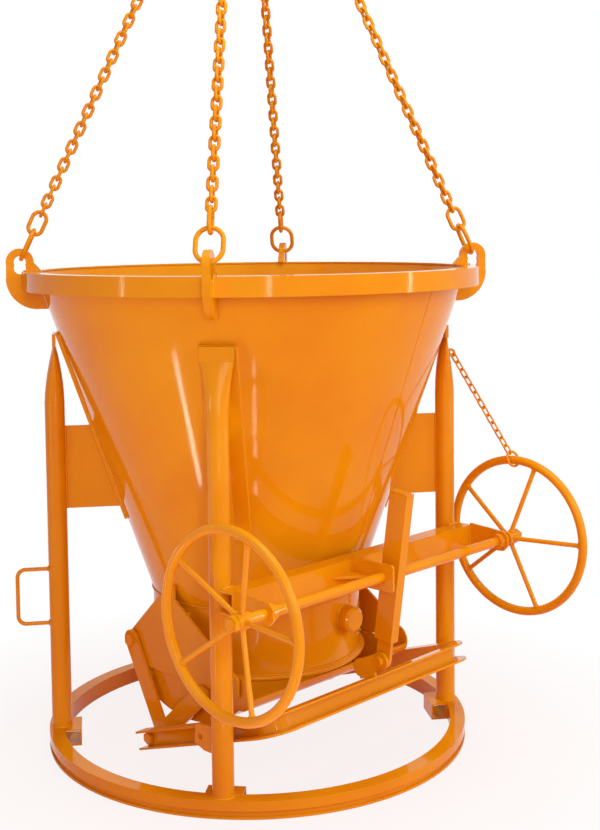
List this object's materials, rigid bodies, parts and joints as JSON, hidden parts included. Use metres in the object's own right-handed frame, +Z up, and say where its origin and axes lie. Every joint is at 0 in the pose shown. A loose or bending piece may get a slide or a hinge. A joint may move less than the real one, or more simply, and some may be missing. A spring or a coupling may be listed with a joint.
{
  "type": "concrete bucket",
  "caption": "Crane concrete bucket: conical hopper on tube legs over a base ring, with a hinged bottom gate worked by a lever on a handwheel shaft, hung from a chain sling.",
  "frame": {"origin": "centre of the base ring, on the ground it stands on", "axes": "+Z up, X along the handwheel shaft, -Y towards the side with the handwheels"},
  "size_m": [1.3858, 1.5086, 3.207],
  "materials": {
    "orange_paint": "gloss",
    "chain_paint": "gloss"
  },
  "bodies": {
    "bucket": {"hopper_cone": "orange_paint", "rim_angle": "orange_paint", "outlet_collar": "orange_paint", "outlet_floor": "orange_paint", "outlet_ring": "orange_paint", "vibrator_boss": "orange_paint", "leg_back_right": "orange_paint", "leg_back_left": "orange_paint", "leg_front_left": "orange_paint", "leg_front_right": "orange_paint", "leg_pads": "orange_paint", "leg_gussets": "orange_paint", "base_ring": "orange_paint", "foot_stubs": "orange_paint", "grab_handle": "orange_paint", "leg_eye_plate": "orange_paint", "crossbeam": "orange_paint", "bearing_plate_left": "orange_paint", "bearing_plate_middle": "orange_paint", "bearing_plate_right": "orange_paint", "beam_gusset": "orange_paint", "hinge_bracket_left": "orange_paint", "hinge_bracket_right": "orange_paint", "lifting_lugs": "orange_paint", "sling_rings": "chain_paint", "sling_chain_back_right": "chain_paint", "sling_chain_back_left": "chain_paint", "sling_chain_front_left": "chain_paint", "sling_chain_front_right": "chain_paint", "master_link": "chain_paint", "lock_staple": "chain_paint", "lock_chain": "chain_paint", "lock_ring": "chain_paint"},
    "wheel_shaft": {"shaft": "orange_paint", "shaft_collars": "orange_paint", "handwheel_left": "orange_paint", "handwheel_right": "orange_paint", "hub_nuts": "orange_paint", "lever_box": "orange_paint", "lever_cap": "orange_paint", "lever_tongue": "orange_paint"},
    "yoke": {"yoke_channel": "orange_paint", "yoke_ear": "orange_paint", "ear_bolt": "orange_paint"},
    "gate": {"gate_pan": "orange_paint", "gate_arm_left": "orange_paint", "gate_arm_right": "orange_paint", "arm_spacers": "orange_paint", "hinge_pins": "orange_paint", "yoke_pins": "orange_paint"}
  },
  "joints": [
    {"name": "shaft_turn", "type": "hinge", "parent": "bucket", "child": "wheel_shaft", "pos_m": [0, -0.56214, 0.592], "axis": [1, 0, 0], "range_deg": [0, 20]},
    {"name": "gate_swing", "type": "hinge", "parent": "bucket", "child": "gate", "pos_m": [0, 0.172, 0.33], "axis": [1, 0, 0], "range_deg": [0, 13.03]},
    {"name": "yoke_turn", "type": "hinge", "parent": "wheel_shaft", "child": "yoke", "pos_m": [0, -0.52514, 0.335], "axis": [1, 0, 0], "range_deg": [-25.4, 0]}
  ],
  "couplings": [
    {"joint": "gate_swing", "follows": "shaft_turn", "ratio": 0.6515},
    {"joint": "yoke_turn", "follows": "shaft_turn", "ratio": -1.2698}
  ]
}
